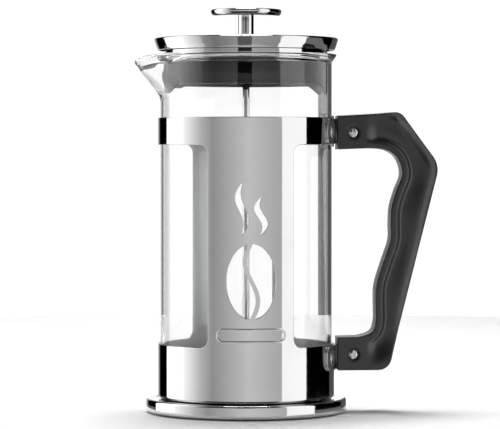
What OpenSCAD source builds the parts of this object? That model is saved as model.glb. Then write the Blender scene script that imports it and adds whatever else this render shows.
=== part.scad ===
// French press: glass beaker in a polished steel frame, with a lid, a plunger and a filter pack.
// Millimetres. +Z is up, the origin is the middle of the foot's underside, the handle is on +X,
// the spout on -X, and the decorated front panel faces -Y.

/* [Beaker] */
// Outside diameter of the glass beaker
beaker_d = 96; // [72:1:125]
// Height of the glass beaker from its underside to its rim
beaker_h = 189; // [150:1:240]
// Thickness of the glass wall
glass_t = 1.9; // [1.4:0.1:3]
// Thickness of the glass floor
glass_floor_t = 2.5; // [1.5:0.1:5]
// Outside radius of the beaker's bottom corner
glass_corner_r = 8; // [5:0.5:14]
// How far the rim is everted beyond the wall
rim_flare = 2.6; // [1:0.1:4]
// Height of the everted rim
rim_h = 5; // [3:0.5:10]
// How far the spout's tip reaches beyond the wall
spout_reach = 14.4; // [8:0.2:20]
// How far below the rim the spout starts to leave the wall
spout_depth = 24; // [14:1:34]
// How far the spout's tip lies below the rim
spout_drop = 3.8; // [1:0.2:6]

/* [Frame] */
// Thickness of the frame's steel sheet
sheet_t = 0.8; // [0.6:0.1:1.5]
// Radial gap between the glass and the frame
beaker_gap = 0.6; // [0.4:0.1:2]
// Height of the frame sleeve above the foot
sleeve_h = 156.5; // [120:0.5:200]
// Height of the band round the top of the sleeve
top_band_h = 15.2; // [10:0.2:24]
// Height of the band round the bottom of the sleeve
low_band_h = 30.4; // [24:0.2:50]
// Angle that the front panel spans
panel_deg = 57; // [40:1:80]
// Angle that the back panel spans
back_panel_deg = 74; // [50:1:90]
// Corner radius of the windows
window_r = 5; // [2:0.5:10]
// Width of the window in the back panel
back_window_w = 37; // [20:1:40]
// Thickness of the soft pad under the glass
pad_t = 2; // [1:0.5:4]

/* [Foot] */
// Height of the foot
foot_h = 8; // [6:0.5:14]
// How far the foot stands out beyond the sleeve
foot_lip = 6.7; // [3:0.1:14]
// Thickness of the insert's floor
insert_floor_t = 2; // [1:0.5:4]

/* [Front decoration] */
// Width of the bean cut-out
bean_w = 27; // [16:1:32]
// Height of the bean cut-out
bean_h = 41; // [30:1:50]
// Height of the wisps above the bean
wisp_h = 28; // [14:1:36]
// Width of each wisp
wisp_w = 3.6; // [2:0.2:5]
// Length of the raised bar under the bean
bar_w = 39; // [20:1:42]
// Height of the raised bar
bar_h = 8; // [4:0.5:10]

/* [Handle] */
// How far the handle's grip reaches out from its end face
handle_reach = 56.3; // [45:0.5:75]
// Width of the handle, front to back
handle_w = 17; // [14:0.5:26]
// Diameter of the handle screws
screw_d = 4; // [3:0.5:5]
// Diameter of the screw heads
screw_head_d = 7; // [5.5:0.5:9]
// Distance from the handle's end face to the screw axis
screw_inset = 9; // [8:0.5:12]

/* [Lid] */
// How far the cap's top edge stands out beyond the glass wall
cap_overhang = 3.8; // [2.4:0.1:8]
// Height of the cap's side
cap_h = 7; // [5:0.5:12]
// How far the cap's side tapers in towards its foot
cap_taper = 2.3; // [0:0.1:4]
// Radial gap between the lid's skirt and the glass
skirt_gap = 0.6; // [0.4:0.1:1.5]
// Depth of the skirt below the rim
skirt_depth = 17.2; // [12:0.2:30]
// Depth of the two lobes below the rim
lobe_depth = 22.2; // [14:0.2:36]
// Wall of the plastic lid insert
insert_t = 2; // [1.5:0.1:3]
// Height of the steel collar above the skirt
collar_h = 4.8; // [3:0.2:8]

/* [Plunger] */
// Diameter of the plunger rod
rod_d = 4; // [3:0.5:6]
// Diameter of the knob
knob_d = 39.7; // [28:0.1:50]
// Thickness of the knob disc
knob_t = 5; // [4:0.5:8]
// Diameter of the stem under the knob
stem_d = 8.7; // [7.5:0.1:12]
// Height of the stem under the knob
stem_h = 10.7; // [6:0.1:18]
// Radial gap between the mesh screen and the glass
mesh_gap = 0.3; // [0.2:0.05:0.6]
// Wire ring diameter of the garter spring
spring_d = 2.3; // [1.6:0.1:3]
// Thickness of the filter plates
plate_t = 0.8; // [0.5:0.1:1.5]

/* [Hidden] */
$fn = 64;

// Colours
steel = "silver";
dark_plastic = "dimgray";
black_plastic = "black";
glass = [0.85, 0.9, 0.92, 0.4];

// Clearances
thread_gap = 0.05;
running_gap = 0.05;
hole_gap = 0.1;
seat_gap = 0.3;
over = 1;

// Beaker and frame radii
beaker_r = beaker_d / 2;
glass_in_r = beaker_r - glass_t;
sleeve_in_r = beaker_r + beaker_gap;
sleeve_r = sleeve_in_r + sheet_t;

// Heights, from the table upwards
sleeve_z = foot_h;
pad_z = sleeve_z + sheet_t;
beaker_z = pad_z + pad_t;
floor_z = beaker_z + glass_floor_t;
rim_z = beaker_z + beaker_h;
sleeve_top = sleeve_z + sleeve_h;
window_lo = sleeve_z + low_band_h;
window_hi = sleeve_top - top_band_h;
foot_r = sleeve_r + foot_lip;
sleeve_corner_r = 1.8;
foot_top_r = 1.6;
foot_low_r = 1.6;
foot_clearance = 0.2;
shell_mouth_r = foot_r - foot_low_r - 1;
shell_hole_r = 22;
glass_in_corner_r = max(glass_corner_r - glass_t, 1);

// Panels: the windows are cut straight through from side to side
function window_edge_y(deg) = sleeve_r * cos(deg / 2);
function window_corner_y(deg) = window_r * sin(deg / 2);

// Decoration of the front panel
bar_z = window_lo + 7;
bean_z = window_lo + 16 + bean_h / 2;
wisp_z = bean_z + bean_h / 2 + 5;
wisp_x = 5.2;
wisp_sway = 2.2;
bridge_w = 2.6;
bar_relief = 0.35;
bar_line = 1.2;

// Brackets
bracket_t = 1;
saddle_r = sleeve_r + thread_gap;
bracket_r = saddle_r + bracket_t;
bracket_h = 14;
bracket_half = 30;
rivet_deg = 19.5;
rivet_d = 8;
rivet_head_t = 0.7;
rivet_shank_r = 1.6;
tongue_t = 2;
tongue_h = 9.5;
tongue_len = 15;
upper_mid = sleeve_top - top_band_h / 2;
lower_mid = window_lo - 0.6 - bracket_h / 2;
tab_w = 3;
tab_h = 1.1;

// Handle, measured from its end face and between its two screws
handle_x = bracket_r + seat_gap;
screw_x = handle_x + screw_inset;
upper_screw_z = upper_mid - 0.8;
lower_screw_z = lower_mid + 1.1;
screw_r = screw_d / 2;
head_r = screw_head_d / 2;
head_t = 1.6;
head_pocket = 2;
nut_r = screw_d;
nut_t = 2.6;
nut_pocket = 3;
slot_w = tongue_t + 0.4;

// Lid
lid_seat = rim_z + seat_gap;
flange_t = 2;
cap_z = lid_seat + flange_t;
cap_top = cap_z + cap_h;
cap_r = beaker_r + cap_overhang;
cap_foot_r = cap_r - cap_taper;
skirt_r = glass_in_r - skirt_gap;
skirt_z = rim_z - skirt_depth;
lobe_z = rim_z - lobe_depth;
collar_z = lid_seat - collar_h;
lobe_low_half = skirt_r * sin(16);
lobe_high_half = skirt_r * sin(31.5);
bush_r = 5;
bush_flange_r = 7;
bush_flange_t = 1.4;
bush_low = rim_z - 13;
bush_nut_r = 8;
bush_nut_t = 3;

// Plunger
rod_r = rod_d / 2;
stem_r = stem_d / 2;
knob_r = knob_d / 2;
stem_z = cap_top + bush_flange_t;
knob_z = stem_z + stem_h;

// Filter pack, built up from the beaker's floor
mesh_r = glass_in_r - mesh_gap;
mesh_t = 0.4;
mesh_rim_h = 3.5;
hub_z = floor_z + 1.7;
hub_t = 3.3;
hub_r = 5;
cross_z = hub_z + hub_t;
cross_r = glass_in_r - glass_in_corner_r + 0.5;
mesh_z = cross_z + plate_t;
spring_r = spring_d / 2;
spring_ring_r = mesh_r - mesh_t - 0.1 - spring_r;
spring_z = mesh_z + mesh_t + 0.02 + spring_r;
filter_r = spring_ring_r - spring_r - 0.05;
filter_z = spring_z - plate_t / 2;
spacer_t = filter_z - mesh_z - mesh_t;
collar_low = filter_z + plate_t;
filter_collar_h = 6;
rod_low = hub_z + 0.3;

// Points of a smooth curve through the middle points of a list
function bend(p, t) =
    0.5 * (2 * p[1] + (p[2] - p[0]) * t
           + (2 * p[0] - 5 * p[1] + 4 * p[2] - p[3]) * t * t
           + (3 * p[1] - p[0] - 3 * p[2] + p[3]) * t * t * t);
function smooth(points, steps = 5) =
    [for (i = [0 : len(points) - 4], s = [0 : steps - 1])
        bend([points[i], points[i + 1], points[i + 2], points[i + 3]], s / steps)];

// Half profile of a round cup with a rounded bottom corner
module cup_profile(r, corner, h) {
    square([r - corner, h]);
    translate([0, corner]) square([r, h - corner]);
    translate([r - corner, corner]) circle(r = corner);
}

module tube(r_out, r_in, h) {
    difference() {
        cylinder(r = r_out, h = h);
        translate([0, 0, -over]) cylinder(r = r_in, h = h + 2 * over);
    }
}

// ---- Standing frame ----

// Rolled shell, open below, with its lower edge turned in under the insert
module base_shell() {
    low = foot_low_r + foot_clearance;
    high = foot_h - foot_top_r;
    corners = [[foot_low_r, low], [foot_top_r, high]];
    color(steel) rotate_extrude() difference() {
        union() {
            translate([0, foot_clearance]) square([foot_r - foot_low_r, foot_h / 2]);
            translate([0, low]) square([foot_r - foot_top_r, foot_h - low]);
            translate([0, low]) square([foot_r, high - low]);
            for (c = corners) translate([foot_r - c[0], c[1]]) circle(r = c[0]);
        }
        translate([-over, foot_clearance + sheet_t])
            square([foot_r - foot_low_r + over, foot_h - foot_clearance - 2 * sheet_t]);
        translate([0, low]) square([foot_r - foot_top_r, foot_h - sheet_t - low]);
        translate([0, low]) square([foot_r - sheet_t, high - low]);
        for (c = corners) translate([foot_r - c[0], c[1]]) circle(r = c[0] - sheet_t);
        translate([-over, -over]) square([shell_mouth_r + over, foot_h / 2 + over]);
        translate([-over, 0]) square([shell_hole_r + over, foot_h + over]);
    }
}

// Plug with a closed floor; its snap rib holds behind the shell's turned-in edge
module base_insert() {
    rim_w = 2;
    boss_r = shell_hole_r + 3;
    snap = 0.9;
    top = foot_h - sheet_t;
    insert_r = shell_mouth_r - 0.2;
    color(black_plastic) rotate_extrude() {
        square([insert_r, insert_floor_t]);
        translate([boss_r - rim_w, 0]) square([rim_w, top]);
        translate([insert_r - rim_w, 0]) square([rim_w, top]);
        translate([insert_r - rim_w, foot_clearance + sheet_t + 0.2]) square([rim_w + snap, 1.6]);
    }
}

// Windows, cut from side to side. Their corners are squeezed in Y so that they are round on the sheet.
module side_window() {
    steps = 6;
    points = [for (corner = [0 : 3], i = [0 : steps])
        let (turn = 90 * (corner + i / steps),
             back = corner == 0 || corner == 3,
             deg = back ? back_panel_deg : panel_deg,
             mid_y = (back ? 1 : -1) * (window_edge_y(deg) - window_corner_y(deg)),
             mid_z = corner < 2 ? window_hi - window_r : window_lo + window_r)
            [mid_y + window_corner_y(deg) * cos(turn), mid_z + window_r * sin(turn)]];
    rotate([90, 0, 90]) linear_extrude(2 * sleeve_r + 2 * over, center = true) polygon(points);
}

// A flat outline in X and Z, pushed out through the front panel only
module through_front() {
    rotate([90, 0, 0]) linear_extrude(sleeve_r + over) children();
}

// S-shaped crease across the bean, as a strip of steel left standing
function crease(t) = [bean_w * 0.13 * sin(360 * t), bean_z + bean_h * (t - 0.5) * 1.04];

module bean() {
    steps = 18;
    rim = [for (i = [0 : 47]) [bean_w / 2 * cos(i * 7.5), bean_z + bean_h / 2 * sin(i * 7.5)]];
    left = [for (i = [0 : steps]) crease(i / steps) - [bridge_w / 2, 0]];
    right = [for (i = [steps : -1 : 0]) crease(i / steps) + [bridge_w / 2, 0]];
    difference() {
        polygon(rim);
        polygon(concat(left, right));
    }
}

// A rising wisp, wavy and pointed at both ends
module wisp(x, h) {
    steps = 16;
    tip_w = 0.4;
    mid = [for (i = [0 : steps]) [x + wisp_sway * sin(360 * i / steps), wisp_z + h * i / steps]];
    half = [for (i = [0 : steps]) (tip_w + wisp_w * sin(180 * i / steps)) / 2];
    left = [for (i = [0 : steps]) mid[i] - [half[i], 0]];
    right = [for (i = [steps : -1 : 0]) mid[i] + [half[i], 0]];
    polygon(concat(left, right));
}

module raised_bar(grow) {
    end_r = bar_h / 2 + grow;
    translate([0, bar_z]) square([bar_w - bar_h, 2 * end_r], center = true);
    for (side = [-1, 1]) translate([side * (bar_w - bar_h) / 2, bar_z]) circle(r = end_r);
}

module rounded_window(w, z0, z1, r) {
    translate([-w / 2 + r, z0]) square([w - 2 * r, z1 - z0]);
    translate([-w / 2, z0 + r]) square([w, z1 - z0 - 2 * r]);
    for (x = [-w / 2 + r, w / 2 - r], z = [z0 + r, z1 - r]) translate([x, z]) circle(r = r);
}

module rivet_axes(gap) {
    for (mid = [upper_mid, lower_mid], side = [-1, 1])
        translate([0, 0, mid]) rotate([0, 0, side * rivet_deg]) rotate([0, 90, 0])
            cylinder(r = rivet_shank_r + gap, h = bracket_r + over);
}

module frame_sleeve() {
    color(steel) difference() {
        union() {
            difference() {
                translate([0, 0, sleeve_z]) rotate_extrude() difference() {
                    cup_profile(sleeve_r, sleeve_corner_r, sleeve_h);
                    translate([0, sheet_t])
                        cup_profile(sleeve_in_r, sleeve_corner_r - sheet_t, sleeve_h);
                }
                side_window();
                through_front() bean();
                through_front() wisp(-wisp_x, wisp_h);
                through_front() wisp(wisp_x, wisp_h * 0.72);
                mirror([0, 1, 0]) through_front()
                    rounded_window(back_window_w, window_lo + 7, window_hi - 7, window_r);
            }
            intersection() {
                tube(sleeve_r + bar_relief, sleeve_r - sheet_t / 2, sleeve_top);
                through_front() difference() {
                    raised_bar(0);
                    raised_bar(-bar_line);
                }
            }
        }
        rivet_axes(hole_gap / 2);
    }
}

module beaker_pad() {
    pad_r = beaker_r - glass_corner_r;
    color(black_plastic) translate([0, 0, pad_z]) cylinder(r = pad_r, h = pad_t);
}

// Saddle plate on the sleeve, with the tongue that enters the handle.
// The upper one also has two tabs that hook over the edges of the top band.
module bracket(mid, screw_z, tabs) {
    tab_z = window_hi - tab_h;
    tabs_h = top_band_h + 2 * tab_h;
    tab_y = bracket_r * sin(rivet_deg);
    difference() {
        union() {
            intersection() {
                translate([0, 0, mid - bracket_h]) tube(bracket_r, saddle_r, 2 * bracket_h);
                rotate([90, 0, 90]) linear_extrude(bracket_r + over) {
                    rounded_window(2 * bracket_r * sin(bracket_half), mid - bracket_h / 2,
                                   mid + bracket_h / 2, 4);
                    if (tabs) for (side = [-1, 1])
                        translate([side * tab_y - tab_w / 2, tab_z]) square([tab_w, tabs_h]);
                }
            }
            intersection() {
                translate([saddle_r, -tongue_t / 2, screw_z - tongue_h / 2])
                    cube([tongue_len, tongue_t, tongue_h]);
                translate([0, 0, mid - bracket_h]) tube(2 * bracket_r, saddle_r + bracket_t / 2, 2 * bracket_h);
            }
            if (tabs) for (side = [-1, 1], z = [tab_z, sleeve_top + thread_gap]) intersection() {
                translate([0, 0, z]) tube(bracket_r - 0.2, sleeve_in_r + 0.1, tab_h - thread_gap);
                translate([0, side * tab_y - tab_w / 2, z - over]) cube([bracket_r, tab_w, tab_h + 2 * over]);
            }
        }
        translate([screw_x, handle_w, screw_z]) rotate([90, 0, 0])
            cylinder(r = screw_r + hole_gap, h = 2 * handle_w);
        rivet_axes(hole_gap / 2);
    }
}

module upper_bracket() {
    color(steel) bracket(upper_mid, upper_screw_z, true);
}

module lower_bracket() {
    color(steel) bracket(lower_mid, lower_screw_z, false);
}

module bracket_rivets() {
    color(steel) for (mid = [upper_mid, lower_mid], side = [-1, 1])
        translate([0, 0, mid]) rotate([0, 0, side * rivet_deg]) rotate([0, 90, 0]) {
            translate([0, 0, sleeve_in_r + 0.05]) cylinder(r = rivet_shank_r, h = bracket_r - sleeve_in_r);
            translate([0, 0, bracket_r + 0.02]) cylinder(r = rivet_d / 2, h = rivet_head_t);
        }
}

// Side outline of the handle. x runs out from the end face as a share of the reach,
// z from the lower screw (0) to the upper screw (1).
function hand(x, z) = [handle_x + x * handle_reach,
                       lower_screw_z + z * (upper_screw_z - lower_screw_z)];

module handle_outline() {
    top_z = 1.078;
    low_z = -0.071;
    grip = smooth([
        hand(0.1, 0.927), hand(0.3, 0.93), hand(0.48, 0.922), hand(0.597, 0.885), hand(0.642, 0.815),
        hand(0.585, 0.74), hand(0.538, 0.665), hand(0.528, 0.59), hand(0.525, 0.515), hand(0.449, 0.41),
        hand(0.385, 0.31), hand(0.38, 0.21), hand(0.38, 0.155), hand(0.34, 0.102), hand(0.17, 0.079),
        hand(0.05, 0.079)]);
    outer = concat([hand(0, 0.079), hand(0, low_z)],
                   [hand(0.38, low_z), hand(0.43, -0.065), hand(0.475, -0.052), hand(0.515, -0.034),
                    hand(0.541, -0.015), hand(0.556, 0.01)],
                   [hand(0.978, 0.77), hand(0.995, 0.797), hand(1.004, 0.824), hand(1.002, 0.851),
                    hand(0.985, 0.878), hand(0.944, 0.905)],
                   [hand(0.694, 1.059), hand(0.665, 1.078), hand(0.635, 1.089), hand(0.6, 1.094)],
                   [hand(0, top_z), hand(0, 0.925)]);
    polygon(concat(outer, grip));
}

module handle() {
    color(dark_plastic) difference() {
        translate([0, handle_w / 2, 0]) rotate([90, 0, 0]) linear_extrude(handle_w) handle_outline();
        for (z = [upper_screw_z, lower_screw_z]) translate([screw_x, 0, z]) {
            rotate([90, 0, 0]) cylinder(r = screw_r + hole_gap, h = 2 * handle_w, center = true);
            translate([0, -handle_w / 2 + head_pocket, 0]) rotate([90, 0, 0])
                cylinder(r = head_r + 0.4, h = handle_w);
            translate([0, handle_w / 2 + over, 0]) rotate([90, 0, 0])
                cylinder(r = nut_r + 0.2, h = nut_pocket + over, $fn = 6);
            translate([-screw_inset - over, -slot_w / 2, -tongue_h / 2 - 0.3])
                cube([tongue_len + over + 1, slot_w, tongue_h + 0.6]);
        }
    }
}

module handle_screws() {
    slot_depth = 0.8;
    slot_cut = 1;
    color(steel) for (z = [upper_screw_z, lower_screw_z])
        translate([screw_x, -handle_w / 2 + head_pocket, z]) rotate([90, 0, 0]) {
            difference() {
                cylinder(r = head_r, h = head_t);
                translate([-slot_cut / 2, -head_r - over, head_t - slot_depth])
                    cube([slot_cut, 2 * head_r + 2 * over, over + slot_depth]);
            }
            translate([0, 0, head_pocket - handle_w]) cylinder(r = screw_r, h = handle_w - head_pocket);
        }
}

module handle_nuts() {
    color(steel) for (z = [upper_screw_z, lower_screw_z])
        translate([screw_x, handle_w / 2 - nut_pocket + nut_t, z]) rotate([90, 0, 0]) difference() {
            cylinder(r = nut_r, h = nut_t, $fn = 6);
            translate([0, 0, -over]) cylinder(r = screw_r + thread_gap, h = nut_t + 2 * over);
        }
}

// ---- Beaker ----

// Cone-like body from the wall to the spout's tip; mid_r lies inside the wall, so the surfaces cross it cleanly
module spout_body(mid_r, low, high, tip_x, tip_z, tip_r, tip_up) {
    hull() {
        translate([0, 0, low]) cylinder(r = mid_r, h = high - low, $fn = 64);
        translate([-tip_x, 0, tip_z]) sphere(r = tip_r, $fn = 16);
        translate([-tip_x, 0, tip_z + tip_up]) sphere(r = tip_r, $fn = 16);
    }
}

module beaker() {
    tip_r = 2.2;
    tip_x = beaker_r + spout_reach - tip_r;
    tip_z = rim_z - spout_drop - tip_r;
    spout_z = rim_z - spout_depth;
    inset = 1.1;
    lift = 6;
    flare = [[0, 0], [0.25, 0.1], [0.6, 0.5], [0.85, 0.8], [1, 1]];
    color(glass) difference() {
        union() {
            translate([0, 0, beaker_z]) rotate_extrude() {
                cup_profile(beaker_r, glass_corner_r, beaker_h);
                translate([beaker_r, beaker_h - rim_h])
                    polygon(concat([[-glass_t, 0]], [for (p = flare) [p[0] * rim_flare, p[1] * rim_h]],
                                   [[-glass_t, rim_h]]));
            }
            spout_body(beaker_r - inset, spout_z, rim_z, tip_x, tip_z, tip_r, 0.1);
        }
        translate([0, 0, floor_z]) rotate_extrude()
            cup_profile(glass_in_r, glass_in_corner_r, beaker_h);
        spout_body(glass_in_r - inset, spout_z + glass_t, rim_z + lift, tip_x, tip_z + 0.4,
                   tip_r - glass_t + 0.4, lift);
    }
}

// ---- Lid ----

module lid_cap() {
    edge_r = 1.2;
    inner_r = cap_foot_r - sheet_t;
    color(steel) translate([0, 0, cap_z]) rotate_extrude() difference() {
        union() {
            polygon([[0, 0], [cap_foot_r, 0], [cap_r, cap_h - edge_r], [cap_r - edge_r, cap_h], [0, cap_h]]);
            translate([cap_r - edge_r, cap_h - edge_r]) circle(r = edge_r);
        }
        polygon([[0, -over], [inner_r, -over], [inner_r, 0], [cap_r - edge_r - sheet_t, cap_h - sheet_t],
                 [0, cap_h - sheet_t]]);
        square([bush_r + thread_gap, cap_h + over]);
    }
}

module lid_collar() {
    color(steel) translate([0, 0, collar_z]) tube(skirt_r, skirt_r - sheet_t, collar_h);
}

module lid_insert() {
    hub_r_out = bush_r + 3;
    hub_low = bush_low + bush_nut_t;
    flange_r = cap_foot_r - sheet_t - 0.3;
    color(black_plastic) difference() {
        union() {
            translate([0, 0, skirt_z]) tube(skirt_r, skirt_r - insert_t, collar_z - skirt_z);
            translate([0, 0, collar_z])
                tube(skirt_r - sheet_t - thread_gap, skirt_r - insert_t, collar_h + flange_t / 2);
            translate([0, 0, lid_seat]) cylinder(r = cap_foot_r - 0.4, h = flange_t);
            translate([0, 0, hub_low]) cylinder(r = hub_r_out, h = cap_top - sheet_t - hub_low);
            translate([0, 0, cap_z]) tube(flange_r, flange_r - insert_t, 2);
            intersection() {
                translate([0, 0, lobe_z]) tube(skirt_r, skirt_r - insert_t, skirt_z - lobe_z + over);
                rotate([90, 0, 90]) linear_extrude(2 * beaker_d, center = true)
                    polygon([[-lobe_high_half, skirt_z + over], [-lobe_high_half, skirt_z],
                             [-lobe_low_half, lobe_z], [lobe_low_half, lobe_z],
                             [lobe_high_half, skirt_z], [lobe_high_half, skirt_z + over]]);
            }
        }
        translate([0, 0, bush_low]) cylinder(r = bush_r + thread_gap, h = 2 * cap_top);
    }
}

module lid_bush() {
    color(steel) difference() {
        union() {
            translate([0, 0, bush_low]) cylinder(r = bush_r, h = cap_top - bush_low);
            translate([0, 0, cap_top]) cylinder(r = bush_flange_r, h = bush_flange_t);
        }
        translate([0, 0, bush_low - over])
            cylinder(r = rod_r + running_gap, h = cap_top + bush_flange_t - bush_low + 2 * over);
    }
}

module bush_nut() {
    color(steel) translate([0, 0, bush_low]) tube(bush_nut_r, bush_r + thread_gap, bush_nut_t);
}

// ---- Plunger ----

module knob() {
    top_flat = knob_r * 0.5;
    color(steel) translate([0, 0, knob_z]) rotate_extrude() difference() {
        polygon([[0, 0], [knob_r - 2, 0], [knob_r - 0.3, 1.3], [knob_r, 2], [knob_r - 0.3, knob_t * 0.55],
                 [knob_r * 0.8, knob_t * 0.86], [top_flat, knob_t * 0.98], [0, knob_t]]);
        square([rod_r + thread_gap, knob_t * 0.6]);
    }
}

module knob_stem() {
    color(steel) translate([0, 0, stem_z]) tube(stem_r, rod_r + thread_gap, stem_h);
}

module plunger_rod() {
    color(steel) translate([0, 0, rod_low]) cylinder(r = rod_r, h = knob_z + knob_t * 0.6 - 0.2 - rod_low);
}

module filter_collar() {
    color(steel) translate([0, 0, collar_low]) tube(hub_r, rod_r + thread_gap, filter_collar_h);
}

// Plate with rings of round holes and a bore for the rod
module drilled_plate(r, t, rings) {
    difference() {
        cylinder(r = r, h = t);
        translate([0, 0, -over]) cylinder(r = rod_r + thread_gap, h = t + 2 * over);
        for (ring = rings, i = [0 : ring[1] - 1])
            rotate([0, 0, 360 * i / ring[1]]) translate([ring[0], 0, -over])
                cylinder(r = ring[2], h = t + 2 * over);
    }
}

module filter_plate() {
    color(steel) translate([0, 0, filter_z]) {
        drilled_plate(filter_r, plate_t, [[filter_r * 0.78, 16, 2.6], [filter_r * 0.5, 10, 2.6]]);
        translate([0, 0, -spacer_t]) tube(hub_r, rod_r + thread_gap, spacer_t);
    }
}

module edge_spring() {
    color(steel) translate([0, 0, spring_z]) rotate_extrude()
        translate([spring_ring_r, 0]) circle(r = spring_r);
}

module mesh_screen() {
    color(steel) translate([0, 0, mesh_z]) {
        tube(mesh_r, rod_r + thread_gap, mesh_t);
        tube(mesh_r, mesh_r - mesh_t, mesh_rim_h);
    }
}

module cross_plate() {
    color(steel) translate([0, 0, cross_z])
        drilled_plate(cross_r, plate_t, [[cross_r * 0.8, 18, 2.6], [cross_r * 0.5, 10, 2.6]]);
}

module hub_nut() {
    color(steel) translate([0, 0, hub_z]) tube(hub_r, rod_r + thread_gap, hub_t);
}

base_shell();
base_insert();
frame_sleeve();
beaker_pad();
upper_bracket();
lower_bracket();
bracket_rivets();
handle();
handle_screws();
handle_nuts();
beaker();
lid_cap();
lid_collar();
lid_insert();
lid_bush();
bush_nut();
knob();
knob_stem();
plunger_rod();
filter_collar();
filter_plate();
edge_spring();
mesh_screen();
cross_plate();
hub_nut();
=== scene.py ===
"""A french press: a polished steel frame on a round foot, a glass beaker, a moulded handle, lid and plunger.

Everything is in metres, in the frame of the CAD model. Lengths are written in millimetres and scaled by MM.
The front is towards -Y, the spout towards -X and the handle towards +X.
"""
import math

import bmesh
import bpy
import numpy as np
from mathutils import Matrix, Vector, geometry


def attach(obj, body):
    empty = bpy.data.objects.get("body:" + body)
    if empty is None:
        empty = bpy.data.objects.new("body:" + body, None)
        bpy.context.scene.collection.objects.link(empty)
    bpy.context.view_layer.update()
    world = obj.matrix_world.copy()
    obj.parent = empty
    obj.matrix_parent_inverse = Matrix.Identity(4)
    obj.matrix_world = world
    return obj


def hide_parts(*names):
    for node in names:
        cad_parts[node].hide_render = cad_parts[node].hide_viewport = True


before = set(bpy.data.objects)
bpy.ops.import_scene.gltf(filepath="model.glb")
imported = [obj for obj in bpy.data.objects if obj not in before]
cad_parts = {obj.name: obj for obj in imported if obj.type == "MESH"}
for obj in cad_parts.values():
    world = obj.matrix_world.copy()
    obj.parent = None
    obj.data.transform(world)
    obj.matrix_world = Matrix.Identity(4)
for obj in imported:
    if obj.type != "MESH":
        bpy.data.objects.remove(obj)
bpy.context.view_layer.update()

MM = 0.001
TURN = 2 * math.pi
WELD = 1e-6
SHARP = math.radians(38)

# Sizes of the CAD model, in millimetres
GLASS_R = 48.0
GLASS_IN_R = 46.1
GLASS_Z = 10.8
FLOOR_Z = 13.3
RIM_Z = 199.8
SHEET_T = 0.8
SLEEVE_R = 49.4
SLEEVE_Z = 8.0
SLEEVE_TOP = 164.5
WINDOW_LO = 38.4
WINDOW_HI = 149.3
WINDOW_R = 5.0
PANEL_HALF = 28.5
BACK_PANEL_HALF = 37.0
FOOT_R = 56.1
FOOT_TOP = 8.0
FOOT_MOUTH_R = 53.5
SADDLE_R = 50.45
SADDLE_T = 1.0
UPPER_MID = 156.9
LOWER_MID = 30.8
BRACKET_H = 14.0
RIVET_DEG = 19.5
SCREW_X = 59.75
SCREWS_Z = (156.1, 31.9)
HANDLE_X = 50.75
HANDLE_REACH = 56.3
HANDLE_HALF = 8.5
LID_SEAT = 200.1
CAP_Z = 202.1
CAP_TOP = 209.1
CAP_R = 51.8
CAP_FOOT_R = 49.5
SKIRT_R = 45.5
SKIRT_Z = 182.6
LOBE_Z = 177.6
COLLAR_Z = 195.3
KNOB_Z = 221.2
KNOB_TOP = 226.2
KNOB_R = 19.85
STEM_Z = 210.5
STEM_R = 4.35
ROD_R = 2.0
SPRING_Z = 20.67
SPRING_R = 44.15
BAR_Z = 45.4
BEAN_Z = 74.9
WISP_Z = 100.4


# ---- Outlines and profiles ----

def rounded(corners, closed=True, step=8.0):
    """Points along corners (x, y, radius), each corner rounded with its own radius."""
    points = []
    count = len(corners)
    for i, (x, y, radius) in enumerate(corners):
        here = Vector((x, y))
        if radius <= 0 or (not closed and i in (0, count - 1)):
            points.append(here)
            continue
        before = (Vector(corners[i - 1][:2]) - here).normalized()
        after = (Vector(corners[(i + 1) % count][:2]) - here).normalized()
        half = before.angle(after) / 2
        reach = radius / math.tan(half)
        start = here + before * reach
        end = here + after * reach
        centre = here + (before + after).normalized() * (radius / math.sin(half))
        turn = math.pi - 2 * half
        steps = max(2, math.ceil(math.degrees(turn) / step))
        a = start - centre
        b = end - centre
        for k in range(steps + 1):
            t = k / steps
            weight_a = math.sin((1 - t) * turn) / math.sin(turn)
            weight_b = math.sin(t * turn) / math.sin(turn)
            points.append(centre + a * weight_a + b * weight_b)
    return [tuple(p) for p in points]


def circle(x, y, radius, count, clockwise=False):
    way = -1 if clockwise else 1
    return [(x + radius * math.cos(way * TURN * i / count), y + radius * math.sin(way * TURN * i / count))
            for i in range(count)]


def curve_through(points, steps=5):
    """A Catmull-Rom curve through the middle points of a list."""
    made = []
    for a, b, c, d in zip(points, points[1:], points[2:], points[3:]):
        for s in range(steps):
            t = s / steps
            made.append(tuple(
                0.5 * (2 * q + (r - p) * t + (2 * p - 5 * q + 4 * r - w) * t * t
                       + (3 * q - p - 3 * r + w) * t ** 3)
                for p, q, r, w in zip(a, b, c, d)))
    return made


def offset(points, amount, closed=True):
    """The line moved to its left, which is where the material is."""
    line = np.array(points, float)
    ahead = np.roll(line, -1, 0) - line
    if not closed:
        ahead[-1] = ahead[-2]
    ahead /= np.maximum(np.linalg.norm(ahead, axis=1, keepdims=True), 1e-12)
    left = np.stack([-ahead[:, 1], ahead[:, 0]], 1)
    before = np.roll(left, 1, 0)
    if not closed:
        before[0] = left[0]
    mean = left + before
    mean /= np.maximum(np.linalg.norm(mean, axis=1, keepdims=True), 1e-12)
    stretch = np.clip((mean * left).sum(1, keepdims=True), 0.5, 1)
    return [tuple(p) for p in line + mean * amount / stretch]


def split(points, cuts, closed=True):
    """The line with extra points where it crosses the upright lines at x in cuts."""
    made = []
    last = len(points) if closed else len(points) - 1
    for i in range(len(points)):
        a = points[i]
        made.append(a)
        if i >= last:
            break
        b = points[(i + 1) % len(points)]
        low, high = sorted((a[0], b[0]))
        inside = [c for c in cuts if low + 1e-3 < c < high - 1e-3]
        for c in sorted(inside, reverse=b[0] < a[0]):
            t = (c - a[0]) / (b[0] - a[0])
            made.append((c, a[1] + t * (b[1] - a[1])))
    return made


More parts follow.
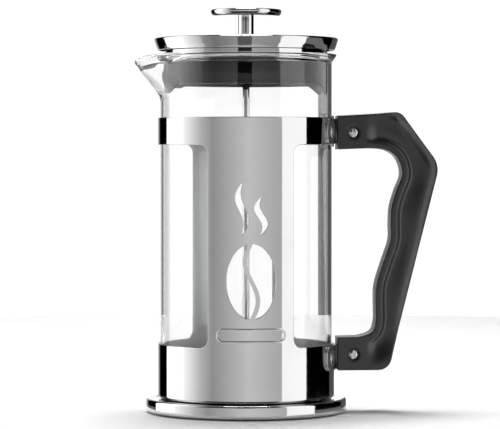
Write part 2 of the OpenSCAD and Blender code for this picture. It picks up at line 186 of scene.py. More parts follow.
def inside(points, loops):
    """Which points lie between the loops, by the even-odd rule."""
    points = np.array(points, float).reshape(-1, 2)
    odd = np.zeros(len(points), bool)
    for loop in loops:
        a = np.array(loop, float)
        b = np.roll(a, -1, 0)
        for (ax, ay), (bx, by) in zip(a, b):
            if ay == by:
                continue
            crosses = (ay > points[:, 1]) != (by > points[:, 1])
            odd ^= crosses & (points[:, 0] < (bx - ax) * (points[:, 1] - ay) / (by - ay) + ax)
    return odd


def fill(loops, cuts=(), extra=()):
    """Points and triangles between closed loops, split along the upright lines at x in cuts."""
    points = []
    edges = []
    for loop in loops:
        first = len(points)
        points += loop
        edges += [(first + i, first + (i + 1) % len(loop)) for i in range(len(loop))]
    low = min(p[1] for p in points) - 1
    high = max(p[1] for p in points) + 1
    for c in cuts:
        edges.append((len(points), len(points) + 1))
        points += [(c, low), (c, high)]
    points += list(extra)
    made, _, faces = geometry.delaunay_2d_cdt([Vector(p) for p in points], edges, [], 0, 1e-4, False)[:3]
    centres = [sum((made[i] for i in f), Vector((0, 0))) / len(f) for f in faces]
    keep = inside(centres, loops)
    return [tuple(p) for p in made], [f for f, k in zip(faces, keep) if k]


# ---- Meshes ----

class Mesh:
    """Vertices and faces gathered for one piece, in millimetres."""

    def __init__(self):
        self.verts = []
        self.faces = []

    def add(self, verts, faces):
        first = len(self.verts)
        self.verts += [tuple(v) for v in verts]
        self.faces += [tuple(first + i for i in f) for f in faces]
        return self

    def grid(self, rows, closed_rows=False, closed_columns=False):
        """Quads between rows of points."""
        high = len(rows)
        wide = len(rows[0])
        first = len(self.verts)
        for row in rows:
            self.verts += [tuple(p) for p in row]
        for r in range(high if closed_rows else high - 1):
            for c in range(wide if closed_columns else wide - 1):
                a = first + r * wide + c
                b = first + r * wide + (c + 1) % wide
                d = first + (r + 1) % high * wide + c
                e = first + (r + 1) % high * wide + (c + 1) % wide
                self.faces.append((a, b, e, d))
        return self

    def lathe(self, profile, count, closed=True, place=None):
        """A profile of (radius, height) turned about Z, or about the axis that place sets."""
        place = place or Matrix.Identity(4)
        rows = []
        for i in range(count):
            c, s = math.cos(TURN * i / count), math.sin(TURN * i / count)
            rows.append([place @ Vector((r * c, r * s, z)) for r, z in profile])
        return self.grid(rows, closed_rows=True, closed_columns=closed)

    def plate(self, loops, place, thickness, edge, cuts=(), rims=None, domain=None, steps=4, extra=()):
        """A plate with rounded edges. place(u, v, depth) says where a point of it lies.

        Each loop has the material on its left. Where the plate closes on itself, domain is its outline
        and rims are the open lines that get an edge.
        """
        inner = [split(offset(loop, edge), cuts) for loop in loops]
        lines = [(loop, True) for loop in inner]
        lines += [(split(line, cuts, closed=False), False) for line in rims or ()]
        outlines = inner + ([split(domain, cuts)] if domain else [])
        points, faces = fill(outlines, cuts, extra)
        self.add([place(u, v, 0) for u, v in points], faces)
        self.add([place(u, v, thickness) for u, v in points], [f[::-1] for f in faces])
        levels = [k / steps * math.pi / 2 for k in range(steps + 1)]
        section = [(edge * math.sin(a), edge * (1 - math.cos(a))) for a in levels]
        section += [(out, thickness - depth) for out, depth in reversed(section)]
        for line, closed in lines:
            rows = [[place(u, v, depth) for u, v in offset(line, -out, closed)] for out, depth in section]
            self.grid(rows, closed_columns=closed)
        return self

    def tube(self, path, radius, sides=10, closed=False):
        """A round tube along a path of points."""
        line = np.array(path, float)
        ahead = np.roll(line, -1, 0) - np.roll(line, 1, 0)
        if not closed:
            ahead[0] = line[1] - line[0]
            ahead[-1] = line[-1] - line[-2]
        ahead /= np.linalg.norm(ahead, axis=1, keepdims=True)
        side = np.cross(ahead[0], (0.3, 0.5, 0.8))
        spokes = [(math.cos(TURN * k / sides), math.sin(TURN * k / sides)) for k in range(sides)]
        rows = []
        for point, way in zip(line, ahead):
            side = side - way * (side @ way)
            side /= np.linalg.norm(side)
            other = np.cross(way, side)
            rows.append([point + radius * (side * c + other * s) for c, s in spokes])
        self.grid(rows, closed_rows=closed, closed_columns=True)
        if not closed:
            last = len(self.verts) - sides
            first = last - (len(rows) - 1) * sides
            self.faces.append(tuple(range(first, first + sides)))
            self.faces.append(tuple(range(last, last + sides))[::-1])
        return self

    def piece(self, name, body, slot, material, nodes=(), sharp=SHARP):
        """The finished object, riding on its body and standing for its CAD nodes."""
        mesh = bpy.data.meshes.new(name)
        mesh.from_pydata([[c * MM for c in v] for v in self.verts], [], self.faces)
        build = bmesh.new()
        build.from_mesh(mesh)
        bmesh.ops.remove_doubles(build, verts=build.verts, dist=WELD)
        bmesh.ops.dissolve_degenerate(build, edges=build.edges, dist=WELD / 4)
        bmesh.ops.recalc_face_normals(build, faces=build.faces)
        loose = [v for v in build.verts if not v.link_faces]
        bmesh.ops.delete(build, geom=loose, context="VERTS")
        build.to_mesh(mesh)
        build.free()
        mesh.shade_smooth()
        mesh.set_sharp_from_angle(angle=sharp)
        mesh.materials.append(material)
        obj = bpy.data.objects.new(name, mesh)
        bpy.context.scene.collection.objects.link(obj)
        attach(obj, body)
        if nodes:
            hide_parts(*nodes)
        return obj


def on_cylinder(radius):
    """Bends a plate round the axis: u is the length along the arc from the front, v the height."""
    def place(u, v, depth):
        turn = u / radius
        return ((radius - depth) * math.sin(turn), -(radius - depth) * math.cos(turn), v)
    return place


def true_normals(obj, radii):
    """Gives the faces on a cylinder about Z exactly radial normals, so that reflections run smoothly."""
    mesh = obj.data
    verts = np.array([v.co for v in mesh.vertices])
    reach = np.hypot(verts[:, 0], verts[:, 1]) / MM
    normals = np.zeros((len(mesh.loops), 3))
    for face in mesh.polygons:
        own = reach[list(face.vertices)]
        if not any(np.abs(own - r).max() < 2e-3 for r in radii):
            continue
        centre = Vector((face.center.x, face.center.y, 0))
        way = 1 if face.normal.dot(centre) > 0 else -1
        for loop in face.loop_indices:
            co = verts[mesh.loops[loop].vertex_index]
            flat = Vector((co[0], co[1], 0)).normalized() * way
            normals[loop] = flat
    mesh.normals_split_custom_set([tuple(n) for n in normals])


# ---- Materials ----

def add_node(tree, kind, links=None, **settings):
    """A node with its settings, its inputs set from a number or joined to a socket."""
    node = tree.nodes.new(kind)
    for key, value in settings.items():
        setattr(node, key, value)
    for key, value in (links or {}).items():
        socket = node.inputs[key]
        if isinstance(value, bpy.types.NodeSocket):
            tree.links.new(value, socket)
        else:
            socket.default_value = value
    return node


class Look:
    """A procedural material on the Principled shader, with patterns placed in the object's own space."""

    def __init__(self, name, **sockets):
        self.material = bpy.data.materials.new(name)
        self.material.use_nodes = True
        self.tree = self.material.node_tree
        self.shader = self.tree.nodes["Principled BSDF"]
        self.space = add_node(self.tree, "ShaderNodeTexCoord").outputs["Object"]
        self.normal = None
        for key, value in sockets.items():
            self.shader.inputs[key.replace("_", " ")].default_value = value

    def stretched(self, scale):
        return add_node(self.tree, "ShaderNodeMapping", {"Vector": self.space, "Scale": scale}).outputs[0]

    def noise(self, scale, detail=3.0, stretch=(1, 1, 1), roughness=0.55):
        links = {"Vector": self.stretched(stretch), "Scale": scale, "Detail": detail, "Roughness": roughness}
        return add_node(self.tree, "ShaderNodeTexNoise", links).outputs["Fac"]

    def ranged(self, fac, low, high, start=0.3, end=0.7):
        links = {"Value": fac, "From Min": start, "From Max": end, "To Min": low, "To Max": high}
        return add_node(self.tree, "ShaderNodeMapRange", links).outputs["Result"]

    def blend(self, fac, first, second):
        node = add_node(self.tree, "ShaderNodeMix", data_type="RGBA")
        colours = [s for s in node.inputs if s.type == "RGBA"]
        self.tree.links.new(fac, node.inputs["Factor"])
        for socket, value in zip(colours, (first, second)):
            if isinstance(value, bpy.types.NodeSocket):
                self.tree.links.new(value, socket)
            else:
                socket.default_value = (*value, 1)
        return next(s for s in node.outputs if s.type == "RGBA")

    def maths(self, operation, first, second):
        node = add_node(self.tree, "ShaderNodeMath", operation=operation)
        for socket, value in zip(node.inputs, (first, second)):
            if isinstance(value, bpy.types.NodeSocket):
                self.tree.links.new(value, socket)
            else:
                socket.default_value = value
        return node.outputs[0]

    def bump(self, height, strength, distance):
        links = {"Height": height, "Strength": strength, "Distance": distance}
        if self.normal:
            links["Normal"] = self.normal
        self.normal = add_node(self.tree, "ShaderNodeBump", links).outputs["Normal"]

    def done(self, **joined):
        for key, socket in joined.items():
            self.tree.links.new(socket, self.shader.inputs[key.replace("_", " ")])
        if self.normal:
            self.tree.links.new(self.normal, self.shader.inputs["Normal"])
        return self.material


def steel_look(name, dark, light, rough, grain, grain_stretch, grain_depth, smudge=0.03, inside=None):
    """Steel with its own tone, polish or brushing, faint smudges and fine scratches.

    inside is the roughness of the faces turned to the axis, which are left satin.
    """
    look = Look(name, Metallic=1.0)
    tone = look.noise(38, 4)
    lines = look.noise(grain, 5, grain_stretch, 0.7)
    smudges = look.noise(55, 5, (1, 1, 0.7), 0.62)
    colour = look.blend(look.ranged(tone, 0, 1), dark, light)
    roughness = look.maths("ADD", look.ranged(smudges, rough, rough + smudge, 0.42, 0.72),
                           look.ranged(lines, 0, smudge * 0.6))
    if inside:
        spot = add_node(look.tree, "ShaderNodeNewGeometry").outputs
        links = {0: spot["Normal"], 1: spot["Position"]}
        outward = add_node(look.tree, "ShaderNodeVectorMath", links, operation="DOT_PRODUCT").outputs["Value"]
        satin = look.ranged(outward, 1, 0, -0.01, 0.01)
        colour = look.blend(satin, colour, (0.86, 0.86, 0.86))
        roughness = look.maths("ADD", roughness, look.maths("MULTIPLY", satin, inside))
    look.bump(lines, 0.5, grain_depth)
    return look.done(Base_Color=colour, Roughness=roughness)


def plastic_look(name, dark, light, rough, grain, depth, **sockets):
    """Moulded plastic with a fine grain, uneven gloss and a little dust-like colour change."""
    look = Look(name, **sockets)
    tone = look.noise(24, 4)
    fine = look.noise(grain, 2, (1, 1, 1), 0.5)
    worn = look.noise(70, 6, (1, 1, 1), 0.65)
    colour = look.blend(look.ranged(tone, 0, 1), dark, light)
    roughness = look.ranged(worn, rough, rough + 0.1)
    look.bump(fine, 0.6, depth)
    return look.done(Base_Color=colour, Roughness=roughness)


def glass_look():
    """Clear blown glass with faint draw lines up the wall."""
    look = Look("clear_glass", Transmission_Weight=1.0, IOR=1.47, Specular_IOR_Level=0.5)
    wave = look.noise(26, 2, (1, 1, 0.12))
    marks = look.noise(160, 4)
    colour = look.blend(look.ranged(wave, 0, 1), (0.985, 0.995, 0.99), (1.0, 1.0, 1.0))
    look.bump(wave, 0.05, 0.0001)
    return look.done(Base_Color=colour, Roughness=look.ranged(marks, 0.0, 0.012, 0.5, 0.8))


def weave_look():
    """Fine woven steel cloth: two crossed rows of wires, with painted shade in the low places between them.
    """
    look = Look("mesh_steel", Metallic=1.0)
    heights = []
    for axis in ("X", "Y"):
        links = {"Vector": look.space, "Scale": 620.0, "Distortion": 0.2, "Detail": 0.0}
        node = add_node(look.tree, "ShaderNodeTexWave", links, wave_type="BANDS", bands_direction=axis)
        heights.append(node.outputs["Fac"])
    height = look.maths("MULTIPLY", *heights)
    # painted shade: the base colour goes dark (0.2) in the low places between the wires and light (0.72) on
    # the raised wire
    tone = look.blend(height, (0.2, 0.2, 0.2), (0.72, 0.72, 0.71))
    look.bump(height, 0.8, 0.0003)
    return look.done(Base_Color=tone, Roughness=look.ranged(height, 0.45, 0.28, 0, 1))


def polished_look(name, inside=None):
    """The bright polish of the sheet parts and the turned parts."""
    return steel_look(name, (0.70, 0.70, 0.705), (0.745, 0.745, 0.75), 0.035, 420, (1, 1, 0.06), 0.00001,
                      inside=inside)


POLISHED = polished_look("polished_steel")
SLEEVE = polished_look("sleeve_steel", inside=0.42)
BRACKET = steel_look("bracket_steel", (0.50, 0.50, 0.50), (0.60, 0.60, 0.60), 0.16, 900, (1, 1, 0.2), 0.00002)
SCREW = steel_look("screw_steel", (0.62, 0.62, 0.62), (0.74, 0.74, 0.73), 0.13, 1400, (1, 0.4, 1), 0.00002)
FILTER = steel_look("filter_steel", (0.58, 0.58, 0.58), (0.68, 0.68, 0.67), 0.13, 800, (0.2, 1, 1), 0.00002)
WEAVE = weave_look()
HANDLE = plastic_look("handle_plastic", (0.004, 0.004, 0.004), (0.007, 0.007, 0.006), 0.31, 1500, 0.00001,
                      Specular_IOR_Level=1.0)
LID = plastic_look("lid_plastic", (0.001, 0.001, 0.001), (0.002, 0.002, 0.002), 0.05, 600, 0.0000006)
FOOT = plastic_look("foot_plastic", (0.012, 0.012, 0.012), (0.022, 0.022, 0.022), 0.4, 900, 0.00008)
RUBBER = plastic_look("pad_rubber", (0.010, 0.010, 0.010), (0.020, 0.020, 0.020), 0.6, 700, 0.00008)
GLASS = glass_look()


# ---- Standing frame ----

def make_foot():
    """Rolled steel shell of the foot, with its lower edge turned in."""
    outer = rounded([(FOOT_MOUTH_R, 0.2, 0), (FOOT_R, 0.2, 1.6), (FOOT_R, FOOT_TOP, 1.5),
                     (51.6, FOOT_TOP - 0.15, 0), (50.6, FOOT_TOP - 0.15, 0.25), (50.2, FOOT_TOP - 0.6, 0.25),
                     (49.2, FOOT_TOP - 0.6, 0), (22.0, FOOT_TOP - 0.6, 0)], closed=False, step=6)
    inner = rounded([(22.0, FOOT_TOP - 1.3, 0), (54.6, FOOT_TOP - 1.3, 0.6), (FOOT_R - 0.8, 1.0, 0.8),
                     (FOOT_MOUTH_R, 1.0, 0)], closed=False)
    foot = Mesh().lathe(outer + inner, 256)
    foot.piece("foot_shell", "frame", "polished_steel", POLISHED, ["base_shell"])


def make_foot_insert():
    """Plastic plug under the foot, with moulded rings on its underside."""
    under = [(0, 0.6, 0)]
    for ring in (9, 17, 31, 44):
        under += [(ring, 0.6, 0.2), (ring + 0.8, 0.0, 0.2), (ring + 3.4, 0.0, 0.2), (ring + 4.2, 0.6, 0.2)]
    under += [(53.3, 0.6, 0.2), (53.3, 6.6, 0.4), (51.3, 6.6, 0.4), (51.3, 2.2, 0.8), (0, 2.2, 0)]
    profile = rounded(under, step=20)
    Mesh().lathe(profile, 128).piece("foot_insert", "frame", "foot_plastic", FOOT, ["base_insert"])


def sleeve_arc(degrees):
    return math.radians(degrees) * SLEEVE_R


def box_loop(left, right, low, high, radius, hole=True):
    """A rounded box; clockwise if it is a hole, so that the material is on its left."""
    loop = rounded([(left, low, radius), (right, low, radius), (right, high, radius), (left, high, radius)])
    return loop[::-1] if hole else loop


def bean_loops():
    """Two lobes of a coffee bean, either side of an S-shaped crease."""
    half_w, half_h, bridge = 13.5, 20.5, 1.3
    loops = []
    for side in (-1, 1):
        crease = []
        for i in range(61):
            t = i / 60
            x = 0.26 * half_w * math.sin(TURN * t) + side * bridge
            z = 2 * half_h * (t - 0.5) * 1.04
            if (x / half_w) ** 2 + (z / half_h) ** 2 < 0.985:
                crease.append((x, z))
        ends = [math.atan2(z / half_h, x / half_w) for x, z in (crease[-1], crease[0])]
        start, end = ends
        if side < 0:
            end += TURN if end < start else 0
        else:
            end -= TURN if end > start else 0
        rim = []
        for i in range(41):
            a = start + (end - start) * i / 40
            rim.append((half_w * math.cos(a), half_h * math.sin(a)))
        loop = crease + rim
        if side < 0:
            loop = loop[::-1]
        loops.append([(flat_to_arc(x), BEAN_Z + z) for x, z in loop])
    return loops


def wisp_loop(x, height):
    """A rising wavy wisp, pointed at both ends."""
    steps, width, sway, tip = 24, 3.6, 2.2, 0.4
    left = []
    right = []
    for i in range(steps + 1):
        t = i / steps
        middle = x + sway * math.sin(TURN * t)
        half = (tip + width * math.sin(math.pi * t)) / 2
        left.append((flat_to_arc(middle - half), WISP_Z + height * t))
        right.append((flat_to_arc(middle + half), WISP_Z + height * t))
    return left + right[::-1]


def flat_to_arc(x):
    return SLEEVE_R * math.asin(x / SLEEVE_R)


def make_sleeve():
    """Sheet sleeve round the beaker, with its windows, the bean and the wisps cut out."""
    seam = 154.75
    strips = 240
    start = sleeve_arc(seam - 360)
    end = sleeve_arc(seam)
    cuts = [start + (end - start) * i / strips for i in range(strips + 1)]
    edge = 0.3
    low = SLEEVE_Z + 3
    high = SLEEVE_TOP - edge
    side = sleeve_arc(PANEL_HALF)
    half_turn = sleeve_arc(180)
    back = sleeve_arc(180 - BACK_PANEL_HALF)
    loops = [box_loop(side, back, WINDOW_LO, WINDOW_HI, WINDOW_R),
             box_loop(-back, -side, WINDOW_LO, WINDOW_HI, WINDOW_R),
             box_loop(-half_turn - 19, -half_turn + 19, WINDOW_LO + 7, WINDOW_HI - 7, WINDOW_R)]
    loops += bean_loops()
    loops += [wisp_loop(-5.2, 28), wisp_loop(5.2, 20.2)]
    top = [(end, high), (start, high)]
    domain = [(start, low), (end, low), (end, high), (start, high)]
    sleeve = Mesh().plate(loops, on_cylinder(SLEEVE_R), SHEET_T, edge, cuts[1:-1], [top], domain)
    outer = rounded([(SLEEVE_R, low, 0), (SLEEVE_R, SLEEVE_Z, 1.8), (SLEEVE_R - 6, SLEEVE_Z, 0)], False, 5)
    inner = rounded([(SLEEVE_R - 6, SLEEVE_Z + SHEET_T, 0), (SLEEVE_R - SHEET_T, SLEEVE_Z + SHEET_T, 1),
                     (SLEEVE_R - SHEET_T, low, 0)], False, 10)
    rows = []
    for c in cuts[:-1]:
        turn = c / SLEEVE_R
        rows.append([(r * math.sin(turn), -r * math.cos(turn), z) for r, z in outer + inner])
    sleeve.grid(rows, closed_rows=True)
    obj = sleeve.piece("sleeve", "frame", "polished_steel", SLEEVE, ["frame_sleeve"])
    true_normals(obj, (SLEEVE_R, SLEEVE_R - SHEET_T))


def make_raised_bar():
    """Plain pressed outline under the bean."""
    line = rounded([(-19.5, -4, 3.9), (19.5, -4, 3.9), (19.5, 4, 3.9), (-19.5, 4, 3.9)], step=6)
    inner = offset(line, 0.6)
    section = [(0.62, -0.15), (0.57, 0.03), (0.42, 0.13), (0.2, 0.19), (0, 0.2), (-0.2, 0.19), (-0.42, 0.13),
               (-0.57, 0.03), (-0.62, -0.15)]
    fine = []
    for (ax, ay), (bx, by) in zip(inner, inner[1:] + inner[:1]):
        steps = max(1, round(math.hypot(bx - ax, by - ay) / 1.2))
        fine += [(ax + (bx - ax) * k / steps, ay + (by - ay) * k / steps) for k in range(steps)]
    rows = []
    for out, height in section:
        rows.append([on_cylinder(SLEEVE_R + height)(u * (1 + height / SLEEVE_R), BAR_Z + v, 0)
                     for u, v in offset(fine, -out)])
    Mesh().grid(rows, closed_columns=True).piece("raised_bar", "frame", "polished_steel", POLISHED)


def make_bracket(name, node, middle, screw_z, tabs):
    """Saddle plate on the sleeve with the tongue that enters the handle."""
    step = math.radians(1.5) * SADDLE_R
    quarter = math.radians(90) * SADDLE_R
    half = math.radians(30) * SADDLE_R
    low, high = middle - BRACKET_H / 2, middle + BRACKET_H / 2
    corners = [(-half, low, 4), (half, low, 4), (half, high, 4), (-half, high, 4)]
    if tabs:
        lip = 1.1
        mid = math.radians(RIVET_DEG) * SADDLE_R
        bottom = []
        for x in (-mid, mid):
            bottom += [(x - 1.5, low, 0.3), (x - 1.5, WINDOW_HI - lip, 0.4), (x + 1.5, WINDOW_HI - lip, 0.4),
                       (x + 1.5, low, 0.3)]
        top = []
        for x in (mid, -mid):
            top += [(x + 1.5, high, 0.3), (x + 1.5, SLEEVE_TOP + lip, 0.4), (x - 1.5, SLEEVE_TOP + lip, 0.4),
                    (x - 1.5, high, 0.3)]
        corners = [corners[0], *bottom, corners[1], corners[2], *top, corners[3]]
    loop = [(quarter + u, v) for u, v in rounded(corners, step=12)]
    cuts = [quarter + step * k for k in range(-20, 21)]
    plate = Mesh().plate([loop], on_cylinder(SADDLE_R), SADDLE_T, 0.25, cuts)
    tongue = rounded([(SADDLE_R - 0.6, screw_z - 4.7, 0), (SADDLE_R + 12, screw_z - 4.7, 4),
                      (SADDLE_R + 12, screw_z + 4.7, 4), (SADDLE_R - 0.6, screw_z + 4.7, 0)])
    plate.plate([tongue], lambda u, v, depth: (u, -1 + depth, v), 2, 0.3)
    plate.piece(name, "frame", "bracket_steel", BRACKET, [node])


def make_rivets():
    """Low domed heads on the saddles, each in a shallow dimple ring."""
    head = [(0, 0.72), (1.2, 0.7), (2.2, 0.62), (3.0, 0.46), (3.6, 0.22), (3.85, 0.0), (3.85, -0.2),
            (0, -0.2)]
    ring = rounded([(3.95, -0.3, 0), (3.95, 0.12, 0.1), (4.5, 0.12, 0.1), (4.7, -0.3, 0)])
    rivets = Mesh()
    for middle in (UPPER_MID, LOWER_MID):
        for side in (-1, 1):
            turn = Matrix.Rotation(math.radians(side * RIVET_DEG), 4, "Z")
            turn = turn @ Matrix.Rotation(math.pi / 2, 4, "Y")
            place = Matrix.Translation((0, 0, middle)) @ turn @ Matrix.Translation((0, 0, SADDLE_R))
            rivets.lathe(head, 40, place=place)
            rivets.lathe(ring, 40, place=place)
    rivets.piece("rivet_heads", "frame", "bracket_steel", SCREW, ["bracket_rivets"])


# ---- Handle ----

def hand(x, z):
    """x runs out from the end face as a share of the reach, z from the lower screw (0) to the upper (1)."""
    upper, lower = SCREWS_Z
    return HANDLE_X + x * HANDLE_REACH, lower + z * (upper - lower)


def handle_lines():
    """The handle's outer line, from under its lower arm round to the top, and its inner line back down."""
    inner = curve_through([hand(*p) for p in (
        (0.1, 0.927), (0.3, 0.93), (0.48, 0.922), (0.597, 0.885), (0.642, 0.815), (0.585, 0.74),
        (0.538, 0.665), (0.528, 0.59), (0.525, 0.515), (0.449, 0.41), (0.385, 0.31), (0.38, 0.21),
        (0.38, 0.155), (0.34, 0.102), (0.17, 0.079), (0.05, 0.079))], 7)
    outer = rounded([(*hand(x, z), r) for x, z, r in (
        (0, 0.079, 0.5), (0, -0.071, 0.8), (0.514, -0.071, 7.5), (1.028, 0.8536, 13), (0.636, 1.0948, 6.5),
        (0, 1.078, 0.8), (0, 0.925, 0.5))], closed=False, step=6)
    return outer, inner


def smooth_step(t):
    t = np.clip(t, 0, 1)
    return t * t * (3 - 2 * t)


def face_drop(points, outer, inner):
    """How far the handle's face lies below its flat middle at each point.

    The outer edge of the grip falls away. Beside its inner edge a steep bank leads down into a hollow that
    rises gently to the face again. Every edge is round.
    """
    edge, wide, flat = 0.9, 8.0, 2.0
    bank_at, bank_wide, bank_deep, rise = 3.0, 3.4, 2.6, 13.0
    x, z = points[:, 0], points[:, 1]
    from_outer = distance_to(points, outer, closed=False)
    from_inner = distance_to(points, inner, closed=False)
    slope = 0.68 * smooth_step((x - 76) / 12) * smooth_step((z - 20) / 40)
    t = np.clip((wide - from_outer) / (wide - flat), 0, 1)
    fall = slope * ((wide - flat) * (t ** 3 - t ** 4 / 2) + np.clip(flat - from_outer, 0, None))
    near = np.clip(edge - np.minimum(from_outer, from_inner), 0, edge)
    down = smooth_step((from_inner - bank_at) / bank_wide)
    up = smooth_step((bank_at + bank_wide + rise - from_inner) / rise)
    hollow = bank_deep * smooth_step((x - 66) / 8) * down * up
    return fall + edge - np.sqrt(edge ** 2 - near ** 2) + hollow


def even(loop, length):
    """The loop with points no further apart than length."""
    made = []
    for (ax, ay), (bx, by) in zip(loop, loop[1:] + loop[:1]):
        steps = max(1, math.ceil(math.hypot(bx - ax, by - ay) / length))
        made += [(ax + (bx - ax) * k / steps, ay + (by - ay) * k / steps) for k in range(steps)]
    return made


def distance_to(points, line, closed=True):
    a = np.array(line, float)
    b = np.roll(a, -1, 0)
    if not closed:
        a, b = a[:-1], b[:-1]
    along = b - a
    length = np.maximum((along ** 2).sum(1), 1e-12)
    best = np.full(len(points), 1e9)
    for start, way, size in zip(a, along, length):
        t = np.clip(((points - start) @ way) / size, 0, 1)
        best = np.minimum(best, np.hypot(*(points - start - t[:, None] * way).T))
    return best


def make_handle():
    """Moulded handle: flat arms, and a grip with a sloping outer edge and a hollow along the inner one."""
    outer, inner = handle_lines()
    outline = even(outer + inner, 0.9)
    rings = []
    for out in (0.04, 0.13, 0.3, 0.55, 0.9):
        rings += offset(outline, out)
    spacing = 0.65
    low = np.array(outline).min(0)
    high = np.array(outline).max(0)
    across = np.array([(x, z) for x in np.arange(low[0], high[0], spacing)
                       for z in np.arange(low[1], high[1], spacing)])
    across = across[inside(across, [outline])]
    across = across[distance_to(across, outline) > 1.25]
    handle = Mesh()
    for way, depth in ((-1, 2.0), (1, 3.0)):
        holes = []
        for z in SCREWS_Z:
            if way < 0:
                holes.append(circle(SCREW_X, z, 4.1, 48, clockwise=True))
            else:
                holes.append(rounded([(x, y, 0.3) for x, y in circle(SCREW_X, z, 4.35, 6, clockwise=True)]))
        free = across
        for hole in holes:
            middle = np.array(hole).mean(0)
            free = free[np.hypot(*(free - middle).T) > 4.9]
        points, faces = fill([outline, *holes], extra=rings + list(map(tuple, free)))
        drop = face_drop(np.array(points), outer, inner)
        handle.add([(x, way * (HANDLE_HALF - d), z) for (x, z), d in zip(points, drop)], faces)
        for hole in holes:
            rows = [[(x, way * HANDLE_HALF, z) for x, z in hole]]
            for out, down in ((0.1, 0.03), (0.2, 0.12), (0.25, 0.3), (0.25, depth)):
                rows.append([(x, way * (HANDLE_HALF - down), z) for x, z in offset(hole, -out)])
            handle.grid(rows, closed_columns=True)
            bottom = [(x, way * (HANDLE_HALF - depth), z) for x, z in offset(hole, -0.25)]
            handle.add(bottom, [tuple(range(len(bottom)))])
    wall = HANDLE_HALF - face_drop(np.array(outline), outer, inner)
    seam = offset(outline, -0.07)
    rows = []
    for share, line in ((-1, outline), (-0.5, outline), (-0.035, outline), (0, seam), (0.035, outline),
                        (0.5, outline), (1, outline)):
        rows.append([(x, w * share, z) for (x, z), w in zip(line, wall)])
    handle.grid(rows, closed_columns=True)
    handle.piece("handle_grip", "frame", "handle_plastic", HANDLE, ["handle"], sharp=math.radians(50))


def make_screws():
    """Slotted screws: two halves of a dome standing on a round head."""
    head, top, ball = 3.45, 8.1, 4.5
    screws = Mesh()
    for z, tilt in zip(SCREWS_Z, (8, -12)):
        place = Matrix.Translation((SCREW_X, 0, z)) @ Matrix.Rotation(math.pi / 2, 4, "X")
        disc = rounded([(0, 6.95, 0), (2.4, 6.85, 1), (3.3, 6.5, 0.2), (3.3, 6.2, 0), (2, 6.2, 0),
                        (2, -8.4, 0.3), (0, -8.4, 0)])
        screws.lathe(disc, 64, place=place)
        spin = Matrix.Rotation(math.radians(tilt), 4, "Z")
        for side in (-1, 1):
            start = math.asin(0.5 / head)
            half = [(side * head * math.cos(a), head * math.sin(a)) for a in
                    np.linspace(-math.pi / 2 + start, math.pi / 2 - start, 28)]
            if side < 0:
                half = half[::-1]
            rings = [(u * k, v * k) for k in (0.35, 0.6, 0.8) for u, v in half]

            def on_head(u, v, depth):
                away = min(u * u + v * v, head ** 2)
                crown = ball - math.sqrt(ball ** 2 - away)
                return place @ spin @ Vector((u, v, top - crown - depth * (1 - 0.75 * away / head ** 2)))
            screws.plate([half], on_head, 1.3, 0.18, extra=rings)
    screws.piece("screw_heads", "frame", "screw_steel", SCREW, ["handle_screws"])


# ---- Beaker ----

def spout_radius(turn, wall_r, share):
    """Plan radius of a wall with a drawn spout, at a turn from its middle.

    share runs from 0 at the spout's root to 1 at its tip.
    """
    tip_r, reach = 4.6, 57.8
    bend = math.acos((GLASS_R - tip_r) / reach)
    turn = abs(turn)
    if turn >= bend or share <= 0:
        return wall_r
    own_r = wall_r * (1 - share) + tip_r * share
    centre = reach * share
    if turn <= math.atan2(own_r * math.sin(bend), centre + own_r * math.cos(bend)):
        root = own_r ** 2 - (centre * math.sin(turn)) ** 2
        return centre * math.cos(turn) + math.sqrt(max(root, 0))
    return max(wall_r, wall_r / math.cos(bend - turn))


def make_beaker():
    """Blown glass with a thick floor, a flared rim with a melted edge, and a drawn spout."""
    columns = 288
    root, tip = RIM_Z - 25.5, RIM_Z - 4.6
    outer = rounded([(0, GLASS_Z, 0), (GLASS_R, GLASS_Z, 8), (GLASS_R, 60, 0)], closed=False, step=6)
    outer += [(GLASS_R, z) for z in (90, 120, 150, 165, 172)]
    outer += [(GLASS_R, z) for z in np.linspace(174, 194.8, 20)]
    outer += [(GLASS_R + f, z) for f, z in ((0.05, 195.2), (0.3, 195.8), (0.8, 196.6), (1.4, 197.4),
                                             (1.95, 198.2), (2.35, 198.8), (2.58, 199.2))]
    rim = rounded([(GLASS_R + 2.6, 199.2, 0), (GLASS_R + 2.6, RIM_Z, 0.5), (GLASS_IN_R, RIM_Z, 0.5),
                   (GLASS_IN_R, 199.2, 0)], closed=False, step=15)[1:-1]
    inner = [(GLASS_IN_R, z) for _, z in reversed(outer) if z >= 60]
    inner += rounded([(GLASS_IN_R, 60, 0), (GLASS_IN_R, FLOOR_Z, 6.1), (0, FLOOR_Z - 0.4, 0)],
                     closed=False, step=6)[1:]
    profile = outer + rim + inner
    span = 14
    turns = [TURN * (i / columns - 0.5) for i in range(columns)]
    rows = []
    for r, z in profile:
        share = max(0.0, (z - root) / (tip - root))
        share = min(1.0, math.sqrt(share * share + 0.02) - 0.13)
        radii = [spout_radius(t, r, share) if z > root else r for t in turns]
        ring = np.array(radii)
        if z > root:
            kernel = np.hanning(span + 2)[1:-1]
            ring = np.concatenate([ring[-span:], ring, ring[:span]])
            ring = np.convolve(ring, kernel / kernel.sum(), "same")
            ring = ring[span:-span]
        row = []
        for t, own in zip(turns, ring):
            dip = 3.6 * smooth_step((z - root) / (RIM_Z - root)) * math.exp(-(t / 0.2) ** 2)
            row.append((-own * math.cos(t), -own * math.sin(t), z - dip))
        rows.append(row)
    Mesh().grid(rows, closed_columns=True).piece("glass_beaker", "beaker", "clear_glass", GLASS, ["beaker"])


# ---- Lid ----

